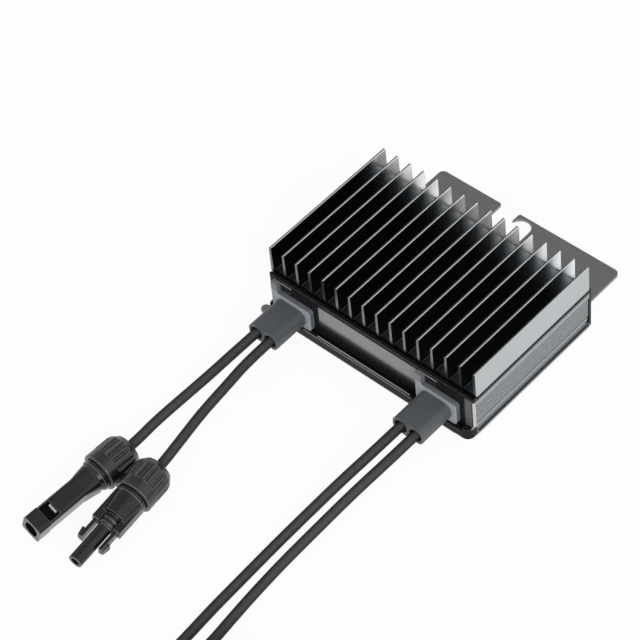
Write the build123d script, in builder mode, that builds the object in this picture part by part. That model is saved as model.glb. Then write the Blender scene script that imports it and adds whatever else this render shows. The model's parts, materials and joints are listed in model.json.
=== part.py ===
# Power optimizer for one solar panel: a finned aluminium extrusion over a sealed plastic tray,
# on a steel hook bracket, with two short input leads and two long output leads.
# Millimetres, +Z up, the leads leave towards -Y, origin under the middle of the heat sink.
import os
from math import atan2, cos, degrees, pi, radians, sin, sqrt, tan

from build123d import *

# Heat sink extrusion
sink_width = 129.0
sink_length = 84.3
base_top = 28.6  # height of the channel floors between the fins
base_thickness = 4.0
fin_count = 16
fin_height = 15.6
fin_root = 1.7
fin_tip = 1.3
fin_root_radius = 0.6
fin_tip_radius = 0.25
wall_inset = 3.2  # from the outer face to the inner face of a side wall
wall_bottom = 0.3  # the side walls end this far above the bracket's underside
groove_height = 27.4
groove_depth = 1.3
groove_width = 1.5
band_bottom = 22.4
rib_top = 21.6
rib_pitch = 1.75
rib_count = 7
rib_crest_inset = 0.5
rib_depth = 0.6
notch_depth = 1.7
skirt_inset = 0.8
skirt_bottom = 5.7
undercut_inset = 1.7
lip_flare = 0.4
lip_height = 3.3
lip_chamfer = 0.9
undercut_rise = 1.1  # slope from the lip up to the undercut
notch_rise = 0.9  # slope of the notch under the ribs, on either side
rib_foot = 0.45  # share of a rib's pitch at which its groove starts
rib_groove = 0.7
rib_head = 0.95
channel_depth = 5.6  # screw channels under the base plate
channel_gap = 3.0
channel_rib = 1.4
channel_inset = 9.3  # channel centre line from the outer face

# Bracket
plate_thickness = 1.5
plate_left_inset = 5.0  # from the heat sink's side face to the plate's edge
plate_right_inset = 9.5
plate_reach = 36.85  # beyond the heat sink's far end
plate_corner = 3.0
notch_left = 20.0
notch_corner = 1.4
notch_floor = 16.0  # notch bottom beyond the heat sink's far end
hook_radius = 5.7
hook_centre_x = -2.6
hook_rim = 1.4  # steel between the hook's round and the plate's far edge
hook_left = 8.6  # straight outer side of the finger, left of the middle
hook_corner = 1.3
hook_tip_rise = 1.3  # finger's tip beyond the hook's centre
ear_reach = 5.3
ear_length = 5.0
ear_root = 1.0  # how far the ear's strip runs into the plate
ear_forward = 1.4  # beyond the plate's front edge
plate_setback = 0.6  # plate's front edge behind the lip's outer face

# Tray
tray_clearance = 0.3
tray_wall = 2.0
tray_floor = 2.0
end_wall = 1.7
end_gap = 0.3
end_wall_top = 27.4
end_corner = 0.8
trough_depth = 4.2  # from the front wall's face to the lip's outer face
lip_wall = 2.0
front_lip_top = 5.7
trough_floor = 2.6
corner_post_top = 8.0
corner_post_width = 4.2
tray_corner = 4.0
tray_inner_corner = 1.0
boss_diameter = 8.0
boss_spread = 36.0
post_diameter = 7.0
post_inset = 34.5  # board posts from the heat sink's side face
post_y = 33.0

# Gasket
gasket_thickness = 1.0
gasket_width = 1.2
gasket_edge = 0.5

# Label film
label_setback = 3.7  # from the input gland's flange
label_bottom = 11.8
label_top = 25.1
label_film = 0.2
label_gap = 0.4

# Cable glands
input_gland_inset = 16.4  # middle of the gland from the heat sink's side face
output_gland_inset = 20.5
gland_height = 13.2
flange_shift = -0.6
flange_drop = 0.3
flange_width = 25.0
flange_height = 13.8
flange_thickness = 3.0
flange_corner = 2.0
flange_bevel = 0.3
flange_room = 0.2  # between a flange and the tray's corner post
neck_width = 17.6
neck_height = 9.6
neck_clearance = 0.1
inner_flange_margin = 0.8
inner_flange_thickness = 1.6
block_root_width = 18.4
block_root_height = 10.0
block_end_width = 18.5
block_end_height = 9.8
block_corner = 4.0
block_length = 20.7
mouth_depth = 2.5
mouth_margin = 1.15
tab_width = 3.8
tab_top = 25.9
finger_length = 7.6
finger_height = 0.7
finger_thickness = 0.5
pocket_depth = 0.9
pocket_bottom = 20.8

# Leads
cable_diameter = 5.1
cable_spacing = 8.9
conductor_diameter = 2.4
tail_length = 2.3
run_share = 0.45  # of the shorter run that an arc takes

# Circuit board
board_thickness = 1.6
board_margin = 0.6
board_top = 18.6
board_boss_gap = 0.5
pad_thickness = 1.4
part_gap = 0.3
switch_width = 10.0
switch_length = 14.0
core_side = 24.0
core_plate = 2.6
core_window = 6.6
core_post = 9.0
winding_diameter = 20.0
capacitor_diameter = 8.0
capacitor_height = 11.5
film_width = 6.0
film_length = 13.0
film_height = 10.5
chip_side = 7.0
chip_height = 1.0
chip_places = [(-14.0, 18.0), (4.0, 20.0), (20.0, 18.0)]
switch_places = [(-24.0, -8.0), (-8.0, -8.0), (8.0, -8.0), (24.0, -8.0)]
pad_place = (0.0, -8.0)
pad_length = 62.0
pad_width = 18.0
inductor_places = [(-22.0, 6.0), (16.0, 6.0)]
film_places = [(-32.0, -16.0), (-23.0, -16.0), (-14.0, -16.0), (-5.0, -16.0)]
can_places = [(6.0, -16.0), (16.0, -16.0), (26.0, -16.0)]
terminal_width = 17.0
terminal_length = 10.0
terminal_height = 8.4

# Screws
tray_screw = 3.2
tray_screw_head = 6.0
tray_head_depth = 1.7
bracket_screw = 4.0
bracket_screw_head = 7.0
bracket_screw_length = 5.5
bracket_screw_inset = 24.5  # from the heat sink's side face
bracket_screw_y = 30.0
bracket_boss = 9.0
board_screw = 2.6
board_screw_head = 5.2
board_screw_head_height = 1.8
board_screw_length = 8.0

# Connectors
nut_length = 19.5
nut_radius = 10.0
nut_gap = 0.6  # between the nut and the body's shoulder
nut_rear_edge = 0.5
nut_dome = 3.6  # length of the cone behind the ribbed part
nut_dome_end = 5.6
nut_front_edge = 0.6
shoulder_length = 1.6
nut_rear_radius = 6.4
nut_hole_radius = 2.75
nut_hole_length = 2.2
nut_bore = 7.6
nut_flutes = 14
flute_radius = 1.25
flute_length = 13.5
neck_radius = 7.3
neck_start = 9.5
shoulder_radius = 8.3
shoulder_step = 0.2
shoulder_drop = 1.5
seal_radius = 6.9
seal_length = 6.0
conductor_end = 9.0
crimp_radius = 2.6
body_length = 61.5
socket_width = 10.6
socket_depth = 13.2
socket_corner = 2.0
socket_root_width = 14.4
socket_root_depth = 14.6
socket_root_corner = 5.2
socket_taper_end = 33.0
socket_shoulder_end = 24.0
collar_length = 7.2
collar_extra = 0.5
window_length = 6.4
window_width = 8.4
window_depth = 2.3
mouth_width = 7.6
mouth_height = 10.4
mouth_reach = 22.0
pin_radius = 1.5
pin_setback = 6.0
plug_barrel_radius = 7.5
plug_barrel_taper = 0.9
plug_barrel_end = 33.5
plug_snout_radius = 3.6
plug_hole_radius = 2.2
wing_end = 39.0
wing_half = 8.0
wing_inner = 4.3
wing_thickness = 5.4
arm_end = 50.5
arm_outer = 6.6
arm_inner = 4.7
arm_height = 4.6
lug_length = 4.5
ring_radius = 4.5
ring_wire = 1.1
ring_first = 36.2
ring_second = 38.8
ring_seat = 1.2  # solid stretch in front of the second ring
sleeve_setback = 2.0
sleeve_wall = 0.5
sleeve_depth = 18.0
crimp_end = 31.0  # front of a plug contact's thick part

# Where the connectors lie: rear of the nut, heading from -Y towards +X, dip and roll in degrees
input_a_seat = (-53.4, -155.5, 10.7, -3.1, 1.9, -23.0)
input_b_seat = (-34.0, -155.4, 10.75, 5.6, 2.2, -12.0)
nut_seat_height = 10.7
seat_dip = 1.9
seat_distance = 22.0  # from the end of a coil's stub to the rear of the nut
end_straight = 7.0  # straight on from the coil before the cable comes down to the nut
seat_entry = 3.0  # straight stretch of cable behind a nut

# Points that the free leads run through, between the gland and the connector or coil
input_a_route = [(-52.3, -103.0, 13.2), (-52.9, -121.5, 12.8), (-53.6, -137.0, 12.0)]
input_b_route = [(-41.2, -102.0, 13.2), (-39.4, -120.0, 12.8), (-36.6, -137.0, 12.0)]
output_a_route = [
    (37.6, -106.0, 10.5),
    (35.6, -128.5, 6.4),
    (34.5, -151.0, 3.6),
    (34.9, -175.0, 2.65),
    (35.5, -193.0, 2.6),
    (36.9, -212.5, 2.6),
    (37.7, -234.0, 2.6),
    (37.4, -252.0, 2.6),
    (37.0, -264.0, 2.6),
]
output_b_route = [
    (46.4, -109.0, 10.3),
    (44.6, -132.5, 6.1),
    (43.7, -156.0, 3.4),
    (44.7, -178.0, 2.65),
    (46.2, -194.0, 2.6),
    (47.45, -206.0, 2.6),
]
input_straight = 17.6  # straight out of the gland's mouth before the first bend
output_straight = 20.0

# Coils of the output leads: centre, mean radius, angles where the cable runs on and off, sense
coil_margin = 0.1
coil_a = {"centre": (8.95, -293.0), "radius": 25.5, "on": 0, "off": -90, "sense": -1}
coil_b = {"centre": (77.0, -232.0), "radius": 27.0, "on": 180, "off": 200, "sense": 1}
crown_sink = 0.25  # how far the last turn lies into the four below it

# Derived sizes
half_width = sink_width / 2
half_length = sink_length / 2
sink_top = base_top + fin_height
base_bottom = base_top - base_thickness
fin_pitch = (sink_width - fin_root) / (fin_count - 1)
wall_inner = half_width - wall_inset
channel_x = half_width - channel_inset
plate_left = half_width - plate_left_inset
plate_right = half_width - plate_right_inset
input_gland_x = input_gland_inset - half_width
output_gland_x = half_width - output_gland_inset
label_left = input_gland_x + flange_shift + flange_width / 2 + label_setback
post_x = half_width - post_inset
bracket_screw_x = half_width - bracket_screw_inset
tray_half = wall_inner - tray_clearance
tray_bottom = plate_thickness
tray_inside = tray_bottom + tray_floor
tray_rim = base_bottom - gasket_thickness
wall_back = half_length + end_gap
wall_face = wall_back + end_wall
inner_half_x = tray_half - tray_wall
inner_half_y = wall_back - tray_wall
channel_end = inner_half_y - part_gap
board_bottom = board_top - board_thickness
flange_face = wall_face + flange_thickness
block_end = flange_face + block_length
cable_start = block_end - mouth_depth
cable_radius = cable_diameter / 2
shoulder_start = nut_length + nut_gap
shoulder_front = shoulder_start + shoulder_length
rings_end = ring_second + ring_seat


def side_wall_points():
    """Outline of the right-hand side wall, from its foot up the outer face and back."""
    skirt = half_width - skirt_inset
    crest = half_width - rib_crest_inset
    points = [
        (wall_inner, wall_bottom),
        (half_width + lip_flare - lip_chamfer, wall_bottom),
        (half_width + lip_flare, wall_bottom + lip_chamfer),
        (half_width + lip_flare, lip_height),
        (half_width - undercut_inset, lip_height + undercut_rise),
        (skirt, skirt_bottom),
    ]
    first = rib_top - rib_count * rib_pitch
    points += [
        (skirt, first - 2 * notch_rise),
        (half_width - notch_depth, first - notch_rise),
        (crest, first),
    ]
    for i in range(rib_count):
        foot = first + i * rib_pitch
        points += [
            (crest, foot + rib_foot * rib_pitch),
            (crest - rib_depth, foot + rib_groove * rib_pitch),
            (crest, foot + rib_head * rib_pitch),
        ]
    points += [
        (half_width, band_bottom),
        (half_width, groove_height - groove_width / 2),
        (half_width - groove_depth, groove_height),
        (half_width, groove_height + groove_width / 2),
        (half_width, base_top),
        (wall_inner, base_top),
    ]
    return points


def rounded(width, height, corner):
    """Rounded rectangle in the sketch that is open."""
    RectangleRounded(width, height, min(corner, width / 2 - 0.1, height / 2 - 0.1))


def seat_plane(x, y, z, heading, dip, roll):
    """Plane at a nut's rear: its normal runs forward along the connector."""
    a = radians(heading)
    d = radians(dip)
    forward = Vector(sin(a) * cos(d), -cos(a) * cos(d), -sin(d))
    side = Vector(-cos(a), -sin(a), 0)
    side = side.rotate(Axis((0, 0, 0), forward), roll)
    return Plane(origin=(x, y, z), x_dir=side, z_dir=forward)


def front_plane(x, z, y):
    """Plane facing the leads: local x is +X, local y is +Z, its normal points to -Y."""
    return Plane(origin=(x, y, z), x_dir=(1, 0, 0), z_dir=(0, -1, 0))


def route_radii(name, points):
    """An arc for each corner, as large as its two runs allow, printed for each route."""
    steps = [Vector(*b) - Vector(*a) for a, b in zip(points, points[1:])]
    radii = []
    for before, after in zip(steps, steps[1:]):
        turn = radians(before.get_angle(after))
        radii.append(run_share * min(before.length, after.length) / tan(turn / 2))
    turns = [round(a.get_angle(b), 1) for a, b in zip(steps, steps[1:])]
    print(name, "smallest radius", round(min(radii), 1), "turns", turns)
    return radii


def finish(part, node):
    part.label = node
    export_step(part, f"parts/{node}.step")


os.makedirs("parts", exist_ok=True)

# Heat sink: one extruded profile of base plate, fins, side walls and screw channels, which
# are milled away at both ends to let the tray's rim in
with BuildPart() as heat_sink:
    with BuildSketch(Plane.XZ) as sink_profile:
        with Locations((0, base_top - base_thickness / 2)):
            Rectangle(2 * wall_inner, base_thickness)
        with BuildLine():
            Polyline(*side_wall_points(), close=True)
        make_face()
        with BuildLine():
            Polyline(*[(-x, z) for x, z in side_wall_points()], close=True)
        make_face()
        for i in range(fin_count):
            fin_x = -half_width + fin_root / 2 + i * fin_pitch
            with BuildLine():
                Polyline(
                    (fin_x - fin_root / 2, base_top - 0.2),
                    (fin_x - fin_tip / 2, sink_top),
                    (fin_x + fin_tip / 2, sink_top),
                    (fin_x + fin_root / 2, base_top - 0.2),
                    close=True,
                )
            make_face()
        with Locations(
            *[
                (side * channel_x + edge * (channel_gap + channel_rib) / 2,
                 base_bottom - channel_depth / 2 + 0.05)
                for side in (-1, 1)
                for edge in (-1, 1)
            ]
        ):
            Rectangle(channel_rib, channel_depth + 0.1)
        tips = sink_profile.vertices().group_by(Axis.Y)[-1]
        fillet(tips, radius=fin_tip_radius)
        roots = sink_profile.vertices().filter_by_position(Axis.Y, base_top - 0.05, base_top + 0.05)
        roots = roots.filter_by_position(Axis.X, -half_width + 0.6, half_width - 0.6)
        fillet(roots, radius=fin_root_radius)
    extrude(amount=half_length, both=True)
    with BuildSketch(Plane.XY.offset(base_bottom)):
        with Locations((0, half_length), (0, -half_length)):
            Rectangle(2 * tray_half, 2 * (half_length - channel_end))
    extrude(amount=-channel_depth - part_gap, mode=Mode.SUBTRACT)
finish(heat_sink.part, "heat_sink")

# Bracket: flat steel plate under the tray with a notch and a hook at its far edge
plate_far = half_length + plate_reach
hook_y = plate_far - hook_rim - hook_radius
hook_right = hook_centre_x + hook_radius
hook_tip_y = hook_y + hook_tip_rise
notch_bottom = half_length + notch_floor
plate_front = plate_setback - wall_face - trough_depth
ear_middle = plate_front - ear_forward + ear_length / 2
ear_outer = half_width + ear_reach
ear_inner = ear_root - plate_left
with BuildPart() as mounting_bracket:
    with BuildSketch() as plate_outline:
        with Locations(((plate_right - plate_left) / 2, (plate_far + plate_front) / 2)):
            Rectangle(plate_left + plate_right, plate_far - plate_front)
        with Locations(((hook_right - notch_left) / 2, (plate_far + notch_bottom) / 2)):
            Rectangle(hook_right + notch_left, plate_far - notch_bottom, mode=Mode.SUBTRACT)
        outer = plate_outline.vertices().filter_by_position(
            Axis.Y, notch_bottom - 0.1, plate_far + 0.1
        )
        far_corners = outer.group_by(Axis.Y)[-1].sort_by(Axis.X)
        fillet([far_corners[0], far_corners[-1], *outer.group_by(Axis.Y)[0]], radius=plate_corner)
        fillet(plate_outline.vertices().sort_by_distance((-notch_left, plate_far))[0],
               radius=notch_corner)
        with Locations(((hook_centre_x + hook_right) / 2, (hook_y + plate_far) / 2)):
            Rectangle(hook_right - hook_centre_x, plate_far - hook_y)
        with Locations(((hook_centre_x - hook_left) / 2, (hook_tip_y + plate_far) / 2)):
            Rectangle(hook_centre_x + hook_left, plate_far - hook_tip_y)
        fillet(plate_outline.vertices().sort_by_distance((-hook_left, plate_far))[0],
               radius=hook_corner)
        with Locations((hook_centre_x, hook_y)):
            Circle(hook_radius, mode=Mode.SUBTRACT)
        with Locations(((ear_inner - ear_outer) / 2, ear_middle)):
            SlotOverall(ear_outer + ear_inner, ear_length)
    extrude(amount=plate_thickness)
    with Locations(
        *[Location((x, y, 0), (180, 0, 0))
          for x in (-bracket_screw_x, bracket_screw_x)
          for y in (-bracket_screw_y, bracket_screw_y)]
    ):
        CounterSinkHole(bracket_screw / 2, bracket_screw_head / 2, counter_sink_angle=90)
finish(mounting_bracket.part, "mounting_bracket")

# Tray: open box inside the extrusion, with an end wall at each end and a trough at the front
boss_places = [(x, y) for x in (-channel_x, channel_x) for y in (-boss_spread / 2, boss_spread / 2)]
post_places = [(x, y) for x in (-post_x, post_x) for y in (-post_y, post_y)]
bracket_places = [
    (x, y)
    for x in (-bracket_screw_x, bracket_screw_x)
    for y in (-bracket_screw_y, bracket_screw_y)
]
boss_top = base_bottom - channel_depth - part_gap
with BuildPart() as tray:
    with BuildSketch(Plane.XY.offset(tray_bottom)):
        Rectangle(2 * tray_half, 2 * wall_back)
    extrude(amount=tray_rim - tray_bottom)
    with BuildSketch(Plane.XY.offset(tray_inside)):
        RectangleRounded(2 * inner_half_x, 2 * inner_half_y, tray_inner_corner)
    extrude(amount=tray_rim - tray_inside, mode=Mode.SUBTRACT)
    for side in (-1, 1):
        with BuildSketch(Plane.XY.offset(tray_bottom)) as end_sketch:
            with Locations((0, side * (wall_back + end_wall / 2))):
                Rectangle(sink_width, end_wall)
            edge = end_sketch.vertices().group_by(Axis.Y)[-1 if side > 0 else 0]
            fillet(edge, radius=end_corner)
        extrude(amount=end_wall_top - tray_bottom)
    with BuildSketch(Plane.XY.offset(tray_bottom)) as trough:
        with Locations((0, -wall_face - trough_depth / 2 + 0.1)):
            Rectangle(sink_width, trough_depth + 0.2)
        fillet(trough.vertices().group_by(Axis.Y)[0], radius=tray_corner)
    extrude(amount=front_lip_top - tray_bottom)
    with BuildSketch(Plane.XY.offset(tray_bottom)) as posts:
        with Locations(*[(side * (half_width - corner_post_width / 2), -wall_face - trough_depth / 2)
                         for side in (-1, 1)]):
            Rectangle(corner_post_width, trough_depth)
        corners = posts.vertices().group_by(Axis.Y)[0].sort_by(Axis.X)
        fillet([corners[0], corners[-1]], radius=tray_corner)
    extrude(amount=corner_post_top - tray_bottom)
    with BuildSketch(Plane.XY.offset(trough_floor)):
        with Locations((0, -wall_face - (trough_depth - lip_wall) / 2)):
            Rectangle(sink_width - 2 * corner_post_width, trough_depth - lip_wall)
    extrude(amount=front_lip_top, mode=Mode.SUBTRACT)
    with BuildSketch(Plane.XY.offset(tray_inside)):
        with Locations(*boss_places):
            Circle(boss_diameter / 2)
    extrude(amount=boss_top - tray_inside)
    with BuildSketch(Plane.XY.offset(tray_inside)):
        with Locations(*post_places):
            Circle(post_diameter / 2)
    extrude(amount=board_bottom - tray_inside)
    with BuildSketch(Plane.XY.offset(tray_inside)):
        with Locations(*bracket_places):
            Circle(bracket_boss / 2)
    extrude(amount=bracket_screw_length - tray_floor)
    with Locations(*[Location((x, y, tray_bottom), (180, 0, 0)) for x, y in boss_places]):
        CounterBoreHole(tray_screw / 2, tray_screw_head / 2 + 0.2, tray_head_depth + 0.2)
    with Locations(*[Location((x, y, tray_bottom), (180, 0, 0)) for x, y in bracket_places]):
        Hole(bracket_screw / 2, depth=bracket_screw_length - plate_thickness + 0.4)
    with Locations(*[Location((x, y, board_bottom)) for x, y in post_places]):
        Hole(board_screw / 2, depth=board_screw_length)
    for gland_x in (input_gland_x, output_gland_x):
        with BuildSketch(front_plane(gland_x, gland_height, -inner_half_y + 0.5)):
            rounded(neck_width, neck_height, flange_corner)
        extrude(amount=wall_face - inner_half_y + 1, mode=Mode.SUBTRACT)
        with BuildSketch(
            front_plane(gland_x + flange_shift, gland_height - flange_drop, -wall_face)
        ):
            Rectangle(flange_width + 2 * flange_room, flange_height + 2 * flange_room)
        extrude(amount=trough_depth + flange_room, mode=Mode.SUBTRACT)
        pocket_x = gland_x + flange_shift - flange_width / 2 + tab_width
        pocket_top = tab_top - finger_height
        with BuildSketch(
            front_plane(pocket_x + finger_length / 2 - 0.4, (pocket_bottom + pocket_top) / 2, -wall_face)
        ):
            Rectangle(finger_length - 1.2, pocket_top - pocket_bottom)
        extrude(amount=-pocket_depth, mode=Mode.SUBTRACT)
finish(tray.part, "tray")

# Gasket between the tray's rim and the base plate
with BuildPart() as gasket:
    with BuildSketch(Plane.XY.offset(tray_rim)):
        RectangleRounded(2 * (tray_half - gasket_edge), 2 * (half_length - gasket_edge), 2.4)
        RectangleRounded(
            2 * (tray_half - gasket_edge - gasket_width),
            2 * (half_length - gasket_edge - gasket_width),
            1.2,
            mode=Mode.SUBTRACT,
        )
    extrude(amount=gasket_thickness)
finish(gasket.part, "gasket")

# Label film on the front wall, left plain, between the two glands
output_flange_left = output_gland_x + flange_shift - flange_width / 2
label_right = output_flange_left - label_gap
with BuildPart() as label_plate:
    with BuildSketch(
        front_plane((label_left + label_right) / 2, (label_bottom + label_top) / 2, -wall_face)
    ):
        RectangleRounded(label_right - label_left, label_top - label_bottom, 1.0)
    extrude(amount=label_film)
finish(label_plate.part, "label_plate")

# Cable glands: a rubber flange, a neck through the wall and a tapered block for two cables
for node, gland_x in (("input_gland", input_gland_x), ("output_gland", output_gland_x)):
    flange_x = gland_x + flange_shift
    mouths = [(-cable_spacing / 2, 0), (cable_spacing / 2, 0)]
    with BuildPart() as gland:
        with BuildSketch(front_plane(flange_x, gland_height - flange_drop, -wall_face)):
            rounded(flange_width, flange_height, flange_corner)
        extrude(amount=flange_thickness)
        chamfer(gland.faces().sort_by(Axis.Y)[0].edges(), length=flange_bevel)
        with BuildSketch(front_plane(flange_x, 0, -wall_face)):
            with Locations(((tab_width - flange_width) / 2, (tab_top + gland_height) / 2)):
                Rectangle(tab_width, tab_top - gland_height)
        extrude(amount=flange_thickness - flange_bevel)
        with BuildSketch(front_plane(flange_x, 0, -wall_face)):
            with Locations(
                (tab_width + finger_length / 2 - flange_width / 2, tab_top - finger_height / 2)
            ):
                Rectangle(finger_length + 0.2, finger_height)
        extrude(amount=finger_thickness)
        with BuildSketch(front_plane(gland_x, gland_height, -flange_face)):
            rounded(block_root_width, block_root_height, block_corner)
        with BuildSketch(front_plane(gland_x, gland_height, -block_end)):
            rounded(block_end_width, block_end_height, block_corner)
        loft()
        with BuildSketch(front_plane(gland_x, gland_height, -inner_half_y)):
            rounded(neck_width - 2 * neck_clearance, neck_height - 2 * neck_clearance, flange_corner)
        extrude(amount=wall_face - inner_half_y)
        with BuildSketch(front_plane(gland_x, gland_height, -inner_half_y)):
            rounded(
                neck_width + 2 * inner_flange_margin,
                neck_height + 2 * inner_flange_margin,
                flange_corner,
            )
        extrude(amount=-inner_flange_thickness)
        with BuildSketch(front_plane(gland_x, gland_height, -block_end)):
            with Locations(*mouths):
                Circle(cable_radius + mouth_margin)
        extrude(amount=-mouth_depth, mode=Mode.SUBTRACT)
    finish(gland.part, node)

# Inner ends of the leads: sheath behind each gland, then the bare conductor in its terminal
tail_start = inner_half_y - inner_flange_thickness
terminal_face = tail_start - tail_length
for node, gland_x in (("input_tails", input_gland_x), ("output_tails", output_gland_x)):
    with BuildPart() as tails:
        with BuildSketch(front_plane(gland_x, gland_height, -tail_start)):
            with Locations((-cable_spacing / 2, 0), (cable_spacing / 2, 0)):
                Circle(cable_radius)
        extrude(amount=-tail_length)
        with BuildSketch(front_plane(gland_x, gland_height, -terminal_face)):
            with Locations((-cable_spacing / 2, 0), (cable_spacing / 2, 0)):
                Circle(conductor_diameter / 2)
        extrude(amount=-(terminal_length - 2))
    finish(tails.part, node)

# Terminal blocks under the board, one for each pair of leads
for node, gland_x in (("input_terminals", input_gland_x), ("output_terminals", output_gland_x)):
    with BuildPart() as terminals:
        with BuildSketch(front_plane(gland_x, board_bottom - terminal_height / 2, -terminal_face)):
            Rectangle(terminal_width, terminal_height)
        extrude(amount=-terminal_length)
        chamfer(terminals.edges().filter_by(Axis.Y), length=0.6)
        with BuildSketch(front_plane(gland_x, gland_height, -terminal_face)):
            with Locations((-cable_spacing / 2, 0), (cable_spacing / 2, 0)):
                Circle(conductor_diameter / 2 + 0.1)
        extrude(amount=-(terminal_length - 1.5), mode=Mode.SUBTRACT)
    finish(terminals.part, node)

# Circuit board, cut clear of the tray's corner bosses
with BuildPart() as circuit_board:
    with BuildSketch(Plane.XY.offset(board_bottom)):
        RectangleRounded(
            2 * (inner_half_x - board_margin), 2 * (inner_half_y - board_margin - 1.4), 1.5
        )
        with Locations(
            *[(side * (channel_x + boss_diameter), y) for side in (-1, 1)
              for y in (-boss_spread / 2, boss_spread / 2)]
        ):
            Rectangle(3 * boss_diameter + 2 * board_boss_gap, boss_diameter + 2 * board_boss_gap,
                      mode=Mode.SUBTRACT)
        with Locations(*post_places):
            Circle(board_screw / 2 + 0.2, mode=Mode.SUBTRACT)
    extrude(amount=board_thickness)
finish(circuit_board.part, "circuit_board")

# Power switches on the board, with a thermal pad between them and the base plate
switch_height = base_bottom - pad_thickness - board_top
with BuildPart() as power_switches:
    with BuildSketch(Plane.XY.offset(board_top)):
        with Locations(*switch_places):
            RectangleRounded(switch_width, switch_length, 0.6)
    extrude(amount=switch_height)
finish(power_switches.part, "power_switches")

with BuildPart() as thermal_pad:
    with BuildSketch(Plane.XY.offset(base_bottom - pad_thickness)):
        with Locations(pad_place):
            RectangleRounded(pad_length, pad_width, 1.0)
    extrude(amount=pad_thickness)
finish(thermal_pad.part, "thermal_pad")

# Control chips on the board's upper face
with BuildPart() as control_chips:
    with BuildSketch(Plane.XY.offset(board_top)):
        with Locations(*chip_places):
            RectangleRounded(chip_side, chip_side, 0.4)
    extrude(amount=chip_height)
finish(control_chips.part, "control_chips")

# Inductors under the board: a flat core with a round middle leg and a wound ring
core_height = core_window + 2 * core_plate
core_bottom = board_bottom - core_height
with BuildPart() as inductor_cores:
    with BuildSketch(Plane.XY.offset(core_bottom)):
        with Locations(*inductor_places):
            RectangleRounded(core_side, core_side, 1.0)
    extrude(amount=core_height)
    with BuildSketch(Plane.XY.offset(core_bottom + core_plate)):
        with Locations(*inductor_places):
            Rectangle(core_side + 2, winding_diameter + 0.8)
            Circle(core_post / 2, mode=Mode.SUBTRACT)
    extrude(amount=core_window, mode=Mode.SUBTRACT)
finish(inductor_cores.part, "inductor_cores")

with BuildPart() as inductor_windings:
    with BuildSketch(Plane.XY.offset(core_bottom + core_plate + 0.1)):
        with Locations(*inductor_places):
            Circle(winding_diameter / 2)
            Circle(core_post / 2 + 0.1, mode=Mode.SUBTRACT)
    extrude(amount=core_window - 0.2)
finish(inductor_windings.part, "inductor_windings")

# Capacitors under the board: films on the input side, round cans on the output side
with BuildPart() as input_capacitors:
    with BuildSketch(Plane.XY.offset(board_bottom - film_height)):
        with Locations(*film_places):
            RectangleRounded(film_width, film_length, 0.8)
    extrude(amount=film_height)
finish(input_capacitors.part, "input_capacitors")

with BuildPart() as output_capacitors:
    with BuildSketch(Plane.XY.offset(board_bottom - capacitor_height)):
        with Locations(*can_places):
            Circle(capacitor_diameter / 2)
    extrude(amount=capacitor_height)
    fillet(output_capacitors.faces().sort_by(Axis.Z)[0:3].edges(), radius=0.8)
finish(output_capacitors.part, "output_capacitors")

# Screws: board to tray, tray to the extrusion's channels, bracket to tray
with BuildPart() as board_screws:
    with BuildSketch(Plane.XY.offset(board_top)):
        with Locations(*post_places):
            Circle(board_screw_head / 2)
    extrude(amount=board_screw_head_height)
    with BuildSketch(Plane.XY.offset(board_top)):
        with Locations(*post_places):
            Circle(board_screw / 2 - 0.05)
    extrude(amount=-(board_screw_length + board_thickness - 1))
finish(board_screws.part, "board_screws")

with BuildPart() as tray_screws:
    with BuildSketch(Plane.XY.offset(tray_bottom + 0.1)):
        with Locations(*boss_places):
            Circle(tray_screw_head / 2)
    extrude(amount=tray_head_depth)
    with BuildSketch(Plane.XY.offset(tray_bottom + 0.1)):
        with Locations(*boss_places):
            Circle(tray_screw / 2 - 0.15)
    extrude(amount=base_bottom - 0.8 - tray_bottom)
finish(tray_screws.part, "tray_screws")

with BuildPart() as bracket_screws:
    for x, y in bracket_places:
        with BuildSketch(Plane(origin=(x, y, 0), x_dir=(1, 0, 0), z_dir=(0, -1, 0))):
            with BuildLine():
                head = bracket_screw_head / 2 - 0.1
                shank = bracket_screw / 2 - 0.1
                Polyline(
                    (0, 0.05),
                    (head, 0.05),
                    (shank, 0.05 + head - shank),
                    (shank, bracket_screw_length),
                    (0, bracket_screw_length),
                    close=True,
                )
            make_face()
        revolve(axis=Axis((x, y, 0), (0, 0, 1)))
finish(bracket_screws.part, "bracket_screws")


# Free leads: straight runs joined by arcs, from the gland's mouth to the connector or coil
def lead(node, points):
    with BuildPart() as cable:
        with BuildLine() as route:
            FilletPolyline(*points, radius=route_radii(node, points))
        with BuildSketch(Plane(origin=points[0], z_dir=Vector(*points[1]) - Vector(*points[0]))):
            Circle(cable_radius)
        sweep(path=route.wire())
    length = route.wire().length
    section = pi * cable_radius**2
    print(node, "length", round(length, 1), "volume over section times length",
          round(cable.part.volume / (section * length), 4))
    finish(cable.part, node)


def along(seat, distance):
    """Point on a connector's axis, this far from the rear of its nut."""
    return tuple(seat.origin + seat.z_dir * distance)


def coil_tangent(coil, angle, distance, height):
    """Point on the outer turn's tangent, this far along it, and the way that the cable runs."""
    turn_radius = coil["radius"] + cable_radius
    a = radians(angle)
    run = Vector(-sin(a), cos(a), 0) * coil["sense"]
    foot = Vector(*coil["centre"], height) + Vector(cos(a), sin(a), 0) * turn_radius
    return foot + run * distance, run


def stub_length(coil):
    """Where the cable beside the coil is clear of its outer face."""
    outer = coil["radius"] + cable_diameter + coil_margin
    return sqrt(outer**2 - coil["radius"] ** 2) + part_gap


def output_seat(coil, sideways, roll):
    """Seat of the connector at the end of the cable that leaves this coil."""
    reach = stub_length(coil) + seat_distance
    place, run = coil_tangent(coil, coil["off"], reach, nut_seat_height)
    place += run.rotate(Axis.Z, 90) * sideways
    return seat_plane(*place, degrees(atan2(run.X, -run.Y)), seat_dip, roll)


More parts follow.
